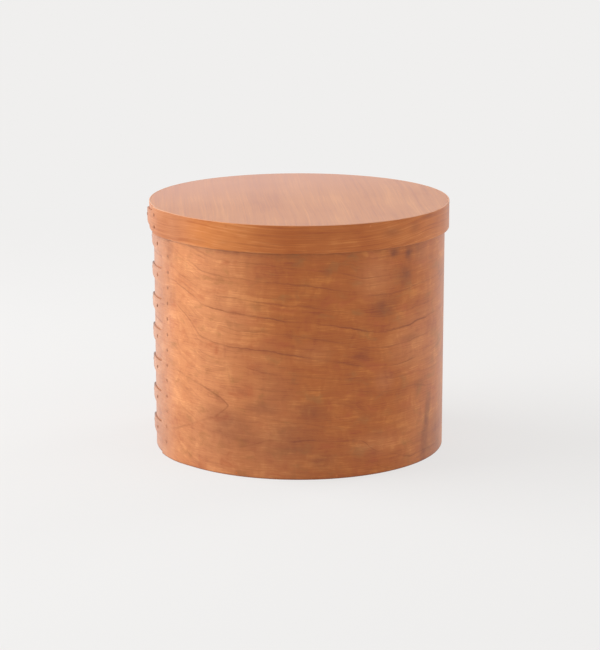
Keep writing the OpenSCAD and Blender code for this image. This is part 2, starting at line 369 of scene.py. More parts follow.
bodyWood = {
    # deep, middle and pale tones: of the plain wood, of its golden stretches and of the lap
    "plain": (tone(144, 66, 14), tone(163, 85, 23), tone(184, 108, 42)),
    "golden": (tone(174, 104, 61), tone(194, 124, 75), tone(212, 143, 90)),
    "lap": (tone(158, 100, 70), tone(172, 116, 84), tone(184, 131, 99)),
    # the dark tone paints real blots, and also painted shade: the shaded stretches and the contact
    # shadow at the foot
    "line": tone(112, 48, 10), "edge": tone(84, 52, 38), "darkTone": tone(112, 54, 24),
    "tints": [(tone(146, 92, 40), (0.05, 0.5, 0.0, 0.6)),       # olive, and its ramp
              (tone(162, 74, 30), (-0.05, -0.5, 0.0, 0.5))],    # red
    # patterns of the grain, and their shares in the mix of tones
    "fibre": ((22, 0.9, 9), 4, 4.0, 0.7), "streak": ((70, 3.2, 40), 5, 3.0, 0.6),
    "cloud": ((26, 18, 60), 6, 3.0, 0.55), "silk": ((4.5, 22, 60), 7, 3.0),
    "mix": (0.68, 0.4, 0.7, 0.3),
    "hue": ((19, 11, 60), 16, 4.0, 0.6),
    "stir": (14, 7, 17),
    # golden stretches: beside the lap a painted highlight, paler where the lamp lights the left side;
    # and random broad patches
    "paintedHighlights": [(184, 98)], "goldenPatchSeed": 18,
    # the lap's tone, on the fingers and on the inner end that lies under them: partly the lap's own
    # wood, partly painted sheen, paler and greyer where the left edge catches grazing light
    "outerLap": (86, 38), "innerLap": [(640, 752), (833, 759)],
    # the growth lines' common path: millimetres along the strip, rise in millimetres
    "path": [(0, 10), (40, 20), (62, 22), (80, 15), (95, 8.5), (110, 3), (130, 0.5), (145, 0),
             (180, -3.5), (206, -7), (228, -12), (247, -16), (265, -16.5), (290, -14.5),
             (320, -12.5), (360, -6), (430, 4), (500, -6), (580, 8), (650, -4), (740, 6), (840, 0)],
    "pathSwing": 30,
    "lift": (60, 175, 1.1, 0.78),    # the share of that rise from low to high on the strip
    "wave": ((26, 22, 40), 1, 1.0), "ripple": ((8, 9, 40), 2, 3.0, 0.65),
    "rippleSizes": (2.4, 1.3),
    # height of each growth line on that path, its strength and its width
    "lines": [(184, 0.3, 0.5), (169.5, 0.5, 0.45), (156.5, 0.7, 0.45), (140, 0.6, 0.4),
              (128.8, 1.0, 0.5), (117, 0.5, 0.42), (102.3, 0.85, 0.5), (86, 0.4, 0.4),
              (73, 0.5, 0.45)],
    # places that pull the lines up or down: centre, reach and rise
    "pulls": [((78, 122), (22, 20), 10), ((250, 66), (60, 16), 11), ((135, 82), (20, 10), 3)],
    # the lowest lines hump up over the foot: the path of the upper one, and for each its place
    # against that path, its strength and its width
    "hump": [(0, 0), (60, 8), (90, 14), (121, 21), (148, 26), (172, 31), (200, 30.5), (233, 28),
             (244, 21), (263, 14), (300, 8), (360, 16), (430, 26), (520, 18), (620, 28),
             (720, 20), (840, 24)],
    "humpSwing": 60,
    "humpLines": [(0, 0.8, 0.45), (-11, 0.3, 0.4)],
    "humpClear": (135, 168, 0.3, 1.0),
    # a tongue of figure that points to the right, low on the left
    "tongue": {"height": 46.5, "climb": 0.07, "tip": 129.0, "power": 1.5, "sweep": 0.48,
               "slack": 1.2, "slackGrowth": 0.2, "strength": 0.85, "width": 0.5},
    # many faint lines between them, closest where the wood bends into the lap
    "long": ((190, 5.5, 9), 9, 2.0), "short": ((120, 2.6, 9), 10, 2.0),
    "faintWidths": (0.07, 0.08), "faintShares": (0.28, 0.2), "faintAlong": (175, 95, 0.6, 1.1),
    # where the lines fade: in patches, on the lap, and towards the right of the front
    "fading": ((30, 12, 40), 3, 3.0), "fade": (-0.35, 0.2, 0.15, 1.0),
    "lapFade": [(58, 90, 0.15, 0.8), (90, 160, 1.0, 1.4)],
    "rightFade": [(300, 332, 1.0, 0.45), (350, 390)],
    "lineShare": 0.65, "lineDepth": 0.6,
    # dark blots: centre, reach and strength
    "blots": [((265, 174), (5, 4), 0.7), ((281, 171), (4.5, 7), 0.75), ((277, 154), (8, 9), 0.5),
              ((256, 133), (12, 8), 0.43), ((207, 164), (4, 4), 0.4), ((157, 56), (14, 6), 0.36),
              ((194, 54), (16, 9), 0.34), ((129, 40), (20, 13), 0.4), ((148, 30), (14, 8), 0.25),
              ((205, 14), (10, 6), 0.4), ((284, 104), (11, 3), 0.35), ((236, 97), (7, 6), 0.14),
              ((67, 170), (9, 14), 0.3), ((70, 134), (5, 9), 0.24), ((176, 34), (22, 18), 0.25)],
    "mottle": ((10, 7, 40), 8, 4.0, 0.6), "mottleShare": (-0.5, 0.4, 0.45, 1.35),
    # a slanting dark streak low on the right
    "slant": {"foot": 301.5, "lean": 0.19, "share": (1.0, 7.5, 0.5, 0.0), "top": (62, 40)},
    # broad darker stretches, given the same way as the blots: the first, second and ninth are painted
    # shade, darker low on the lit left and a painted shadow low on the right; the others darken the
    # wood in places
    "shades": [((120, 22), (110, 26), 0.2), ((322, 12), (24, 28), 0.36), ((56, 79), (14, 45), 0.07),
               ((54, 13), (12, 12), 0.1), ((115, 50), (20, 10), 0.13), ((168, 67), (14, 14), 0.14),
               ((88, 44), (12, 9), 0.1), ((57, 148), (12, 34), 0.12), ((300, 17), (12, 10), 0.12),
               ((294, 170), (10, 8), 0.26)],
    # pale golden stretches: the same
    "glows": [((284, 100), (26, 26), 0.45), ((196, 100), (16, 10), 0.2), ((300, 168), (14, 12), 0.3),
              ((128, 128), (22, 14), 0.4), ((250, 24), (24, 10), 0.3), ((257, 74), (10, 9), 0.35),
              ((248, 156), (18, 18), 0.4), ((93, 152), (17, 26), 0.35), ((116, 17), (11, 8), 0.35)],
    "wear": (4, 30, 0.75, 0.1),      # dark wear on the cut edges, most at the fingers' tips
    # painted contact shadow: darker in the lowest millimetre, where the band meets the floor
    "footShadow": (0.3, 1.4, 0.6, 0.0),
    "roughness": (0.07, 0.48), "roughMix": (0.5, 0.5),
    "relief": 0.03 * mm, "reliefMix": (0.6, 0.35, 0.5),
    "surface": {"IOR": 1.45, **lacquer},
}


def tongueLine(tongue, along, height, ripple):
    middle = calc("MULTIPLY_ADD", along, tongue["climb"], tongue["height"])
    off = calc("ABSOLUTE", calc("ADD", calc("SUBTRACT", height, middle), ripple))
    bow = calc("POWER", off, tongue["power"])
    swept = calc("MULTIPLY_ADD", bow, tongue["sweep"], along)
    slack = calc("MULTIPLY_ADD", off, tongue["slackGrowth"], tongue["slack"])
    away = calc("DIVIDE", calc("SUBTRACT", tongue["tip"], swept), slack)
    return growthLine(away, 0, tongue["strength"], tongue["width"])


def bodyFigure(look, place, along, height):
    ripple = addUp(patches(place, look, "wave", "ripple"), look["rippleSizes"])
    rise = calc("MULTIPLY", curveAlong(along, look["path"], look["pathSwing"]),
                ramp(height, *look["lift"]))
    for pull in look["pulls"]:
        rise = calc("ADD", rise, mound(place, *pull))
    level = calc("ADD", calc("SUBTRACT", height, rise), ripple)
    marks = [growthLine(level, *line) for line in look["lines"]]

    overHump = calc("SUBTRACT", calc("ADD", height, ripple),
                    curveAlong(along, look["hump"], look["humpSwing"]))
    clear = ramp(along, *look["humpClear"])
    marks += [calc("MULTIPLY", growthLine(overHump, *line), clear) for line in look["humpLines"]]
    marks.append(tongueLine(look["tongue"], along, height, ripple))

    flow = joinAxes({0: along, 1: level})
    hairs = [ramp(calc("ABSOLUTE", away), 0.0, width, 1.0, 0.0) for away, width
             in zip(patches(flow, look, "long", "short"), look["faintWidths"])]
    faint = calc("MULTIPLY", addUp(hairs, look["faintShares"]), ramp(along, *look["faintAlong"]))

    figure = highest(marks + [faint])
    shares = [ramp(patch(place, *look["fading"]), *look["fade"])]
    shares += stretches(along, look["lapFade"])
    shares.append(highest(stretches(along, look["rightFade"])))
    for share in shares:
        figure = calc("MULTIPLY", figure, share)
    return figure, flow


def bodyStain(look, place, along, height):
    slant = look["slant"]
    middle = calc("MULTIPLY_ADD", height, slant["lean"], slant["foot"])
    away = calc("SUBTRACT", middle, along)
    sweep = calc("MULTIPLY", ramp(calc("ABSOLUTE", away), *slant["share"]),
                 ramp(height, *slant["top"]))
    stain = calc("MAXIMUM", mounds(place, look["blots"]), sweep)
    return calc("MULTIPLY", stain, ramp(patch(place, *look["mottle"]), *look["mottleShare"]))


def bodyFinish(look):
    material, tree, place = newFinish("bodyCherry", "strip")
    along, height, _ = splitAxes(place)
    figure, flow = bodyFigure(look, place, along, height)

    fibre = patch(place, *look["fibre"])
    streak = patch(flow, *look["streak"])
    stirred = stir(place, *look["stir"])
    cloud, silk, hue = patches(stirred, look, "cloud", "silk", "hue")
    mix = calc("ADD", addUp((fibre, streak, cloud, silk), look["mix"]), mixing["middle"])

    color = goldenWoodAndHighlights(look, place, along, mix)
    for tint, share in look["tints"]:
        color = blendColor(ramp(hue, *share), color, tint)
    under = calc("MINIMUM", *stretches(along, look["innerLap"]))
    lapped = calc("MAXIMUM", ramp(along, *look["outerLap"]), under)
    # the lap's tone, partly painted sheen at the left edge
    color = lapAndGlows(look, place, mix, lapped, color)
    # painted shade and darker wood, blended towards the dark tone
    for dim in look["shades"]:
        color = blendColor(mound(place, *dim), color, look["darkTone"])
    color = blendColor(bodyStain(look, place, along, height), color, look["darkTone"])
    color = blendColor(calc("MULTIPLY", figure, look["lineShare"]), color, look["line"])
    color = wearEdges(tree, look, along, color)
    # painted contact shadow along the foot
    color = blendColor(ramp(height, *look["footShadow"]), color, look["darkTone"])

    uneven = addUp((fibre, cloud), look["roughMix"])
    rough = calc("MULTIPLY_ADD", uneven, *look["roughness"])
    relief = calc("SUBTRACT", addUp((fibre, silk, streak), look["reliefMix"]),
                  calc("MULTIPLY", figure, look["lineDepth"]))
    closeFinish(tree, look, color, rough, relief)
    return material


lidWood = {
    "plain": (tone(138, 58, 8), tone(156, 75, 12), tone(178, 98, 28)),
    "golden": (tone(168, 90, 34), tone(186, 110, 50), tone(202, 130, 74)),
    "lap": (tone(150, 84, 44), tone(167, 102, 60), tone(184, 122, 82)),
    # the rim tone is a painted sheen on the band's top edge
    "line": tone(118, 54, 18), "edge": tone(84, 52, 38), "rim": tone(214, 158, 124),
    "darkTone": tone(112, 54, 24),
    "fibre": ((34, 0.8, 9), 12, 3.0, 0.7), "streak": ((130, 1.7, 40), 13, 3.0),
    "cloud": ((30, 16, 60), 15, 3.0), "mix": (0.75, 0.48, 0.6),
    "cloudStir": (16, 6, 19),
    "vein": ((220, 1.9, 40), 14, 1.0), "veinShare": (0.0, 0.06, 0.25, 0.0),
    # how the grain rises and falls: along its path, at random and in small ripples
    "path": [(0, 0), (70, 1), (95, 2.5), (120, 1), (150, -1), (190, -2.5), (240, -2),
             (265, 0), (290, 3), (320, 5), (380, 2), (480, -5), (600, 4), (700, -2), (760, 0)],
    "pathSwing": 10,
    "drift": ((110, 60, 60), 11, 1.0), "driftSize": 1.2,
    "grainStir": (14, 0.4, 18),
    # painted highlight on the lit left side, and painted sheen rising towards the right edge
    "paintedHighlights": [(205, 120), (205, 265, 0.0, 0.5)], "goldenPatchSeed": 20,
    # the lap's tone, reaching on past the lap's end: darker and greyer than the golden stretch beside
    # it
    "lapped": [(112, 72, 0.0, 0.9), (650, 752, 0.0, 0.9)],
    "blots": [((264, 12.4), (9, 4), 0.34), ((288, 13), (6, 4.5), 0.3), ((306, 19.5), (9, 2), 0.3),
              ((103, 5), (8, 2.5), 0.16), ((128, 6), (5, 2), 0.14)],
    "glows": [((277, 7), (8, 3), 0.3), ((118, 14), (12, 4), 0.25)],
    "wear": (3, 20, 0.2, 0.05),
    "topSheenShare": (21.2, 21.5, 0.0, 0.6),      # painted sheen along the top edge, paler where its top face catches the light
    "roughness": (0.05, 0.48),
    "relief": 0.03 * mm, "reliefMix": (0.6, 0.5),
    "surface": {"IOR": 1.4, **lacquer},
}


def lidFinish(look):
    material, tree, place = newFinish("lidCherry", "strip")
    along, height, _ = splitAxes(place)
    drift = calc("MULTIPLY", patch(place, *look["drift"]), look["driftSize"])
    sway = calc("SUBTRACT", drift, curveAlong(along, look["path"], look["pathSwing"]))
    swayed = calc("ADD", place, joinAxes({1: sway}), kind=vectorMath)
    swayed = stir(swayed, *look["grainStir"])
    fibre, streak, vein = patches(swayed, look, "fibre", "streak", "vein")
    cloud = patch(stir(place, *look["cloudStir"]), *look["cloud"])
    mix = calc("ADD", addUp((fibre, streak, cloud), look["mix"]), mixing["middle"])

    color = goldenWoodAndHighlights(look, place, along, mix)
    lapped = highest(stretches(along, look["lapped"]))
    color = lapAndGlows(look, place, mix, lapped, color)
    color = blendColor(mounds(place, look["blots"]), color, look["darkTone"])
    fine = ramp(calc("ABSOLUTE", vein), *look["veinShare"])
    color = blendColor(fine, color, look["line"])
    color = wearEdges(tree, look, along, color)
    # painted sheen along the top edge
    color = blendColor(ramp(height, *look["topSheenShare"]), color, look["rim"])

    rough = calc("MULTIPLY_ADD", fibre, *look["roughness"])
    closeFinish(tree, look, color, rough, addUp((fibre, streak), look["reliefMix"]))
    return material


boardWood = {
    "plain": (tone(174, 98, 50), tone(188, 114, 60), tone(202, 130, 72)),
    # the pale tone is a painted sheen
    "pale": tone(198, 136, 114),
    "turn": math.radians(-4),     # of the grain, from front to back
    "drift": ((50, 120, 60), 21, 1.0), "driftSize": 3.0,
    "fibre": ((1.1, 90, 9), 22, 3.0, 0.7), "streak": ((3.0, 160, 60), 23, 3.0),
    "band": ((20, 260, 60), 24, 2.0), "cloud": ((34, 50, 60), 25, 3.0, 0.5),
    "mix": (0.95, 0.5, 0.4, 0.4),
    "cloudStir": (20, 8, 26),
    # painted sheen, paler towards the back where the board mirrors the sky at a grazing angle and
    # towards the lit left: millimetres to the back, less this share of those to the right
    "sheenSlant": -0.5, "sheenShare": (-40, 130, 0.0, 0.5),
    "roughness": (0.03, 0.3),
    "relief": 0.008 * mm, "reliefMix": (0.6, 0.5),
    "surface": {"IOR": 1.5},
}


def boardFinish(look):
    material, tree, place = newFinish("boardCherry")
    turned = addNode(tree, "ShaderNodeMapping",
                     {"Vector": place, "Rotation": (0, 0, look["turn"])}).outputs[0]
    drift = calc("MULTIPLY", patch(turned, *look["drift"]), look["driftSize"])
    swayed = calc("ADD", turned, joinAxes({0: drift}), kind=vectorMath)
    fibre, streak, band = patches(swayed, look, "fibre", "streak", "band")
    cloud = patch(stir(place, *look["cloudStir"]), *look["cloud"])
    mix = calc("ADD", addUp((fibre, streak, band, cloud), look["mix"]), mixing["middle"])
    # painted sheen towards the back left
    across, back, _ = splitAxes(place)
    far = calc("MULTIPLY_ADD", across, look["sheenSlant"], back)
    color = blendColor(ramp(far, *look["sheenShare"]), shade(mix, look["plain"]), look["pale"])
    rough = calc("MULTIPLY_ADD", fibre, *look["roughness"])
    closeFinish(tree, look, color, rough, addUp((fibre, streak), look["reliefMix"]))
    return material


pegWood = {
    "dark": tone(164, 90, 38), "light": tone(190, 112, 58), "seam": tone(110, 60, 30),
    "speck": ((0.35, 0.35, 0.35), 31, 2.0), "speckShare": (-0.5, 0.5), "seamShare": 0.1,
    "roughness": 0.5, "relief": 0.02 * mm, "surface": {"IOR": 1.4},
}


def pegFinish(look):
    material, tree, place = newFinish("pegEndGrain")
    speck = patch(place, *look["speck"])
    color = blendColor(ramp(speck, *look["speckShare"]), look["dark"], look["light"])
    seam = calc("MULTIPLY", readFac(tree, "rim"), look["seamShare"])
    color = blendColor(seam, color, look["seam"])
    closeFinish(tree, look, color, look["roughness"], speck)
    return material


agedCopper = {
    "dark": tone(132, 82, 60), "light": tone(202, 142, 110), "rubbed": tone(228, 162, 122),
    "speck": ((0.8, 0.8, 0.8), 41, 3.0), "patina": ((2.6, 2.6, 2.6), 42, 2.0),
    "wornMix": (0.5, 0.8), "wornMiddle": 0.4,
    "front": (-46, -50), "rubbedShare": 0.3,      # the heads towards the front are rubbed paler
    "roughness": (0.0, 1.0, 0.62, 0.42), "relief": 0.04 * mm, "surface": {"Metallic": 0.85},
}


def copperFinish(look):
    material, tree, place = newFinish("agedCopper")
    speck, patina = patches(place, look, "speck", "patina")
    worn = calc("ADD", addUp((speck, patina), look["wornMix"]), look["wornMiddle"])
    color = blendColor(ramp(worn, 0.0, 1.0), look["dark"], look["light"])
    back = splitAxes(place)[1]
    rubbed = calc("MULTIPLY", ramp(back, *look["front"]), look["rubbedShare"])
    color = blendColor(rubbed, color, look["rubbed"])
    closeFinish(tree, look, color, ramp(worn, *look["roughness"]), speck)
    return material


bodyMaterial = bodyFinish(bodyWood)
lidMaterial = lidFinish(lidWood)
boardMaterial = boardFinish(boardWood)
pegMaterial = pegFinish(pegWood)
copperMaterial = copperFinish(agedCopper)
print("finishes mixed")


# The bands: a flat strip is cut with its fingers, eased along its edges and bent round
easing = {
    "inside": 0.12 * mm,       # round on the inner face's edge
    "plainWidth": 0.35 * mm,   # of the outer edge where the band runs plain
    "plainDepth": 0.3 * mm,
    "fingerWidth": 0.6 * mm,   # of the bevel round the fingers
    "fingerDepth": 0.6 * mm,
    "rootEase": 0.6,           # share of the fingers' bevel lost at the deepest point of a gap
    "edgeShare": 0.3,          # share of it left where a root meets the band's long edge
    "fadeLength": 6 * mm,      # from there to the plain edge
    "hold": 0.4 * mm,          # flat margin beside each eased edge
    "insideBend": 0.3,         # where the round's middle lies, as a share of its size
    "bevelBend": (0.4, 0.45),  # where the bevel's middle lies, as shares of its width and depth
    "mitre": 0.35,             # keeps the margin short at sharp corners
    "tipRound": 1.9 * mm,
    "tipSteps": 5,
    "archSteps": 14,
    "column": 2 * mm,          # length of strip between bends
    "innerRun": 0.75,          # share of the climb that the inner end reaches under
    "sharp": math.radians(40),
}


def gapLine(strip, i):
    radius = (strip["pitch"] - strip["rootWidth"]) / 2
    lean = strip["lean"] * (i / strip["fingers"] - 0.5)
    return strip["fingerLength"] - radius + lean, strip["lowGap"] + i * strip["pitch"], radius


def tipEdge(strip, i, side):
    centre, middle, radius = gapLine(strip, i)
    mouth = (strip["pitch"] - strip["tipWidth"]) / 2
    slope = (mouth - radius) / (strip["fingerLength"] - radius)
    flat = strip["lapRadius"] * math.sin(centre / strip["lapRadius"])
    return middle + side * (radius + slope * flat)


# An outline's point is its place along and up the strip, and its share of the fingers' bevel
def tipCorner(edge, side):
    bend, steps = easing["tipRound"], easing["tipSteps"]
    turns = [math.pi / 2 * k / steps for k in range(steps + 1)]
    return [(bend - bend * math.sin(t), edge - side * bend * (1 - math.cos(t)), 1.0) for t in turns]


def archPoints(strip, i, fromTurn, toTurn):
    centre, middle, radius = gapLine(strip, i)
    steps = max(2, round(easing["archSteps"] * abs(toTurn - fromTurn) / math.pi))
    turns = [fromTurn + (toTurn - fromTurn) * k / steps for k in range(steps + 1)]
    return [(centre + radius * math.cos(turn), middle + radius * math.sin(turn),
             1 - easing["rootEase"] * (0.5 + 0.5 * math.cos(turn))) for turn in turns]


def stripOutline(strip, length):
    count, height, quarter = strip["fingers"], strip["height"], math.pi / 2
    centre, middle, radius = gapLine(strip, count)
    root = centre + radius
    points = [(length, 0, 0.0), (length, height, 0.0), (root + easing["fadeLength"], height, 0.0)]
    if middle < height:
        points.append((root, height, easing["edgeShare"]))
    points += archPoints(strip, count, 0, -quarter)
    for i in range(count - 1, -1, -1):
        points += tipCorner(tipEdge(strip, i + 1, -1), 1)
        points += tipCorner(tipEdge(strip, i, 1), -1)[::-1]
        points += archPoints(strip, i, quarter, -quarter if i else 0)
    centre, middle, radius = gapLine(strip, 0)
    root = centre + radius
    if middle > 0:
        points.append((root, 0, easing["edgeShare"]))
    points.append((root + easing["fadeLength"], 0, 0.0))
    return [point for k, point in enumerate(points)
            if math.dist(point[:2], points[k - 1][:2]) > fits["touching"]]


def insetPoint(points, k, amount):
    here, before, after = (Vector(points[j % len(points)][:2]) for j in (k, k - 1, k + 1))
    first, second = (here - before).normalized(), (after - here).normalized()
    inward = Vector((-first.y, first.x)) + Vector((-second.y, second.x))
    inward /= max(easing["mitre"], inward.length_squared / 2)
    return here + inward * amount


def stripLength(strip):
    lapRadians = strip["lap"] / strip["lapRadius"]
    plain = 2 * math.pi - strip["lapAngle"] + lapRadians
    runOut = easing["innerRun"] * strip["feather"] / strip["lapRadius"]
    return strip["lap"] + strip["feather"] + strip["plainRadius"] * (plain + runOut)


def cutStrip(name, strip):
    length = stripLength(strip)
    points = stripOutline(strip, length)
    thickness, hold, inside = strip["thickness"], easing["hold"], easing["inside"]
    bend, (bevelIn, bevelDown) = easing["insideBend"] * inside, easing["bevelBend"]
    bm = bmesh.new()
    cut = bm.verts.layers.float.new("cut")       # how worn a cut edge is

    def ring(insetOf, heightOf, worn):
        made = []
        for k, (_, _, weight) in enumerate(points):
            width = easing["plainWidth"] + weight * (easing["fingerWidth"] - easing["plainWidth"])
            depth = easing["plainDepth"] + weight * (easing["fingerDepth"] - easing["plainDepth"])
            at = insetPoint(points, k, insetOf(width))
            vertex = bm.verts.new((at.x, at.y, heightOf(depth)))
            vertex[cut] = weight * worn
            made.append(vertex)
        return made

    # from the inner face over the edge to the outer face
    rings = [
        ring(lambda width: inside + hold, lambda depth: 0, 0),
        ring(lambda width: inside, lambda depth: 0, 0),
        ring(lambda width: bend, lambda depth: bend, 0.6),
        ring(lambda width: 0, lambda depth: inside, 1),
        ring(lambda width: 0, lambda depth: thickness - depth, 1),
        ring(lambda width: bevelIn * width, lambda depth: thickness - bevelDown * depth, 1),
        ring(lambda width: width, lambda depth: thickness, 0.9),
        ring(lambda width: width + hold, lambda depth: thickness, 0),
    ]
    skinRings(bm, rings)
    bm.faces.new(rings[0][::-1])
    bm.faces.new(rings[-1])
    for k in range(1, int(length / easing["column"])):
        bmesh.ops.bisect_plane(bm, geom=bm.verts[:] + bm.edges[:] + bm.faces[:],
                               dist=fits["touching"], plane_co=(k * easing["column"], 0, 0),
                               plane_no=(1, 0, 0))
    return closeMesh(bm, name + "Flat")


def placeRound(radius, azimuth, height):
    return joinAxes({0: calc("MULTIPLY", radius, calc("COSINE", azimuth)),
                     1: calc("MULTIPLY", radius, calc("SINE", azimuth)),
                     2: height})


def bendTree():
    sizes = ["Inner radius", "Thickness", "Seam", "Tip azimuth", "Lap", "Feather", "Foot"]
    tree, given = newTree("bendStrip", sizes, {"Finish": "Material"})
    inner, thickness, seam = given["Inner radius"], given["Thickness"], given["Seam"]
    tip, lap, feather = given["Tip azimuth"], given["Lap"], given["Feather"]
    place = tree.nodes.new("GeometryNodeInputPosition").outputs[0]
    kept = addNode(tree, "GeometryNodeStoreNamedAttribute",
                   {0: given["Geometry"], "Name": "strip", "Value": place},
                   data_type="FLOAT_VECTOR", domain="POINT")
    along, up, out = splitAxes(place)
    step = calc("ADD", thickness, seam)              # the height of the climb
    plainRadius = calc("ADD", inner, thickness)
    lapRadius = calc("ADD", plainRadius, step)
    foot = calc("ADD", lap, feather)                 # where the climb starts
    climb = ramp(along, foot, lap)
    layer = calc("MULTIPLY_ADD", step, climb, inner)
    lapTurn = calc("DIVIDE", calc("MINIMUM", along, foot), lapRadius)
    beyond = calc("MAXIMUM", calc("SUBTRACT", along, foot), 0.0)
    plainTurn = calc("DIVIDE", beyond, plainRadius)
    azimuth = calc("ADD", tip, calc("ADD", lapTurn, plainTurn))
    # past a full turn the inner end thins out under the climb
    around = calc("SUBTRACT", calc("SUBTRACT", azimuth, tip), 2 * math.pi)
    fade = ramp(around, calc("DIVIDE", foot, lapRadius),
                calc("DIVIDE", lap, lapRadius))
    wood = calc("SUBTRACT", calc("MULTIPLY", step, fade), seam)
    radius = calc("MULTIPLY_ADD", calc("DIVIDE", out, thickness), wood, layer)
    bent = placeRound(radius, azimuth, calc("ADD", up, given["Foot"]))
    moved = addNode(tree, "GeometryNodeSetPosition", {0: kept.outputs[0], "Position": bent})
    closeTree(tree, moved.outputs[0], given["Finish"])
    return tree


def bendStrip(name, strip, material):
    piece = grow(name, cutStrip(name, strip), bender, {
        "Inner radius": strip["inner"], "Thickness": strip["thickness"], "Seam": fits["seam"],
        "Tip azimuth": strip["tipAzimuth"], "Lap": strip["lap"], "Feather": strip["feather"],
        "Foot": strip["foot"], "Finish": material})
    piece.data.set_sharp_from_angle(angle=easing["sharp"])
    settle(piece, strip["body"], strip["node"])
    print(name, "bent:", len(piece.data.polygons), "faces")


bender = bendTree()
bendStrip("bodyBand", bodyStrip, bodyMaterial)
bendStrip("lidBand", lidStrip, lidMaterial)


# The boards: turned discs with eased rims
board = {
    "ease": 0.15 * mm,
    "bend": 0.3,            # where the ease's middle lies, as a share of its size
    "hold": 0.5 * mm,       # flat margin beside it
    "sides": 240,
    "sharp": math.radians(50),
}


def turnBoard(name, body, node):
    low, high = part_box(node)
    radius, ease = high.x, board["ease"]
    bend, margin = board["bend"] * ease, ease + board["hold"]
    profile = [(radius - margin, low.z), (radius - ease, low.z), (radius - bend, low.z + bend),
               (radius, low.z + ease), (radius, high.z - ease), (radius - bend, high.z - bend),
               (radius - ease, high.z), (radius - margin, high.z)]
    bm = bmesh.new()
    rings = [[bm.verts.new((r * math.cos(t), r * math.sin(t), z)) for t in turnsOf(board["sides"])]
             for r, z in profile]
    skinRings(bm, rings)
    capRing(bm, rings[0], (0, 0, low.z))
    capRing(bm, rings[-1], (0, 0, high.z))
    for face in bm.faces:
        face.smooth = True
    mesh = closeMesh(bm, name)
    mesh.materials.append(boardMaterial)
    mesh.set_sharp_from_angle(angle=board["sharp"])
    settle(addObject(name, mesh), body, node)


turnBoard("bottomBoard", "box", "bottom_board")
turnBoard("lidBoard", "lid", "lid_board")
print("boards turned")


# Tacks and pegs: one row tree sets copies of a blank round a band. A blank points outwards
# along X, and the wood's surface is at zero.
tack = {
    "headRadius": 1.4 * mm,
    "headDeep": 0.2 * mm,      # of the head below the wood's surface
    "headProud": 0.15 * mm,
    "headSides": 20,
    "wobble": 0.03,            # how uneven a head is
    "rimWaves": [(2, 0.7, 1.0), (5, 2.1, 0.6)],    # how many round the rim, start and strength
    "dents": (3, 9, 0.35),     # how many round the face, twist and strength
    "shankRadius": 0.55 * mm,
    "shankSides": 16,
    "through": 3.05 * mm,      # both layers of the wood
    # the bent end, in millimetres: its place from the inner face's level outwards and along the
    # face, the way it runs, and its half sizes
    "bentEnd": [((1.1, 0), (1, 0), (0.55, 0.55)), ((0.55, 0.06), (0.9, -0.4), (0.5225, 0.55)),
                ((0.2, 0.3), (0.45, -0.9), (0.385, 0.55)), ((0.12, 0.75), (0.05, -1), (0.26, 0.5225)),
                ((0.12, 1.2), (0, -1), (0.24, 0.4125)), ((0.16, 1.55), (0, -1), (0.16, 0.22)),
                ((0.2, 1.66), (0, -1), (0.05, 0.066))],
    # chance in how a tack sits: the bent end's turn, the tilt, and the spread of sizes
    "roll": math.radians(9), "tilt": math.radians(2), "spread": 0.05,
}
peg = {
    "radius": 0.9 * mm,
    "length": 12 * mm,
    "proud": 0.03 * mm,
    "sides": 20,
    "spread": 0.02,
}


def latheBlank(name, profile, sides, wobble=0.0):
    bm = bmesh.new()
    rim = bm.verts.layers.float.new("rim")
    widest = max(radius for _, radius, _ in profile)
    dents, twist, strength = tack["dents"]
    rings = []
    for x, radius, seam in profile:
        share = radius / widest
        ring = []
        for t in turnsOf(sides):
            waves = sum(size * math.sin(count * t + start) for count, start, size in tack["rimWaves"])
            r = radius * (1 + wobble * waves * share)
            dent = strength * wobble * widest * math.sin(dents * t + twist * share) if x > 0 else 0
            vertex = bm.verts.new((x + dent, r * math.cos(t), r * math.sin(t)))
            vertex[rim] = seam
            ring.append(vertex)
        rings.append(ring)
    skinRings(bm, rings)
    capRing(bm, rings[0], (profile[0][0], 0, 0))
    capRing(bm, rings[-1], (profile[-1][0], 0, 0))
    return addObject(name, closeMesh(bm, name))


def shankBlank():
    straight = (tack["shankRadius"], tack["shankRadius"])
    stations = [((-tack["headDeep"], 0), (1, 0), straight)]
    stations += [((x * mm - tack["through"], y * mm), way, (tall * mm, wide * mm))
                 for (x, y), way, (tall, wide) in tack["bentEnd"]]
    bm = bmesh.new()
    rings = []
    for (x, y), way, (tall, wide) in stations:
        forward = Vector((*way, 0)).normalized()
        side = Vector((-forward.y, forward.x, 0))
        rings.append([bm.verts.new(Vector((x, y, 0)) + side * tall * math.cos(t)
                                   + Vector((0, 0, wide * math.sin(t))))
                      for t in turnsOf(tack["shankSides"])])
    skinRings(bm, rings)
    bm.faces.new(rings[0])
    bm.faces.new(rings[-1])
    return addObject("tackShank", closeMesh(bm, "tackShank"))


# Profiles of the turned blanks: distance along X, radius and share of the seam's dark tone
def headProfile():
    radius, proud = tack["headRadius"], tack["headProud"]
    return [(-tack["headDeep"], radius * 0.9, 0), (-0.05 * mm, radius, 0),
            (0.04 * mm, radius * 0.97, 0), (proud * 0.62, radius * 0.82, 0),
            (proud * 0.9, radius * 0.5, 0), (proud, radius * 0.2, 0)]


def pegProfile():
    radius, proud, back = peg["radius"], peg["proud"], -peg["length"]
    return [(back, radius * 0.9, 0), (back + 0.3 * mm, radius, 0), (-0.05 * mm, radius, 1),
            (proud * 0.5, radius * 0.97, 1), (proud, radius * 0.84, 0.15), (proud, radius * 0.4, 0)]


headBlank = latheBlank("tackHead", headProfile(), tack["headSides"], tack["wobble"])
clinchBlank = shankBlank()
pegBlank = latheBlank("pegBlank", pegProfile(), peg["sides"])


